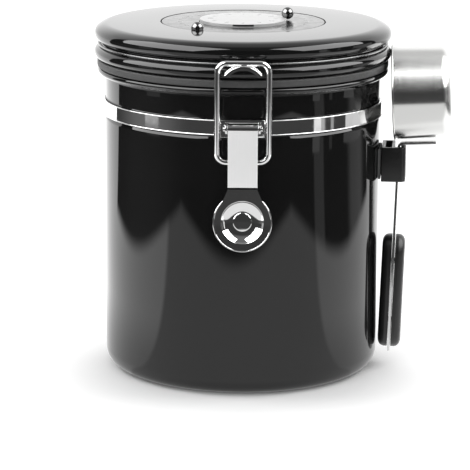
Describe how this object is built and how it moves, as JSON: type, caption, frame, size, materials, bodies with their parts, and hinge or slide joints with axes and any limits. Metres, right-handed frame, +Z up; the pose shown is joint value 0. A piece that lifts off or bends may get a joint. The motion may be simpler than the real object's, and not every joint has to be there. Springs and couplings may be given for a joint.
{
  "type": "coffee canister",
  "caption": "Round food canister with a latched hinged lid, date dials, a one-way gas valve and a measuring scoop hung in a side clip.",
  "frame": {"origin": "on the can's axis, on the plane that the base rests on", "axes": "+Z up along the can's axis, -Y towards the latch, +Y towards the hinge, +X towards the scoop's side"},
  "size_m": [0.1523, 0.1373, 0.1534],
  "materials": {
    "black_gloss": "gloss",
    "chrome": "polished",
    "brushed_steel": "brushed",
    "plain_steel": "plain",
    "black_plastic": "satin",
    "silicone": "matte",
    "dial_grey": "gloss",
    "adhesive": "matte"
  },
  "bodies": {
    "can": {"body_can": "black_gloss", "body_band": "chrome", "latch_bracket": "chrome", "latch_pin": "plain_steel", "hinge_leaf_body": "plain_steel", "hinge_pin": "plain_steel", "scoop_clip": "black_plastic", "clip_pad": "adhesive"},
    "lid": {"lid_cover": "black_gloss", "lid_wire": "plain_steel", "lid_hook": "plain_steel", "lid_gasket": "silicone", "lid_liner": "plain_steel", "dial_base": "black_plastic", "month_axle": "plain_steel", "valve_body": "black_plastic", "valve_cap": "black_plastic", "hinge_leaf_lid": "plain_steel"},
    "day_ring": {"day_dial": "dial_grey", "day_knob": "chrome"},
    "month_ring": {"month_disc": "dial_grey", "month_knob": "chrome"},
    "flap": {"valve_flap": "silicone"},
    "lever": {"latch_lever": "chrome"},
    "loop": {"latch_loop": "chrome"},
    "scoop": {"scoop_cup": "brushed_steel", "scoop_handle": "plain_steel", "grip_inner": "black_plastic", "grip_outer": "black_plastic", "grip_rivet_upper": "plain_steel", "grip_rivet_lower": "plain_steel"}
  },
  "joints": [
    {"name": "lid_hinge", "type": "hinge", "parent": "can", "child": "lid", "pos_m": [0, 0.0663, 0.13695], "axis": [-1, 0, 0], "range_deg": [0, 105]},
    {"name": "latch_lever_pivot", "type": "hinge", "parent": "can", "child": "lever", "pos_m": [0, -0.0635, 0.1132], "axis": [-1, 0, 0], "range_deg": [0, 120]},
    {"name": "latch_loop_pivot", "type": "hinge", "parent": "lever", "child": "loop", "pos_m": [0, -0.0616, 0.0993], "axis": [-1, 0, 0], "range_deg": [-150, 0]},
    {"name": "day_dial_turn", "type": "hinge", "parent": "lid", "child": "day_ring", "pos_m": [0, 0, 0.1479], "axis": [0, 0, 1], "continuous": true},
    {"name": "month_dial_turn", "type": "hinge", "parent": "lid", "child": "month_ring", "pos_m": [0, 0, 0.1491], "axis": [0, 0, 1], "continuous": true},
    {"name": "valve_lift", "type": "slide", "parent": "lid", "child": "flap", "axis": [0, 0, 1], "range_m": [0, 0.0008]},
    {"name": "scoop_lift_off", "type": "slide", "parent": "can", "child": "scoop", "axis": [0.0872, 0.9962, 0], "range_m": [0, 0.024]}
  ],
  "couplings": [
    {"joint": "latch_loop_pivot", "follows": "latch_lever_pivot", "ratio": -1.25}
  ]
}
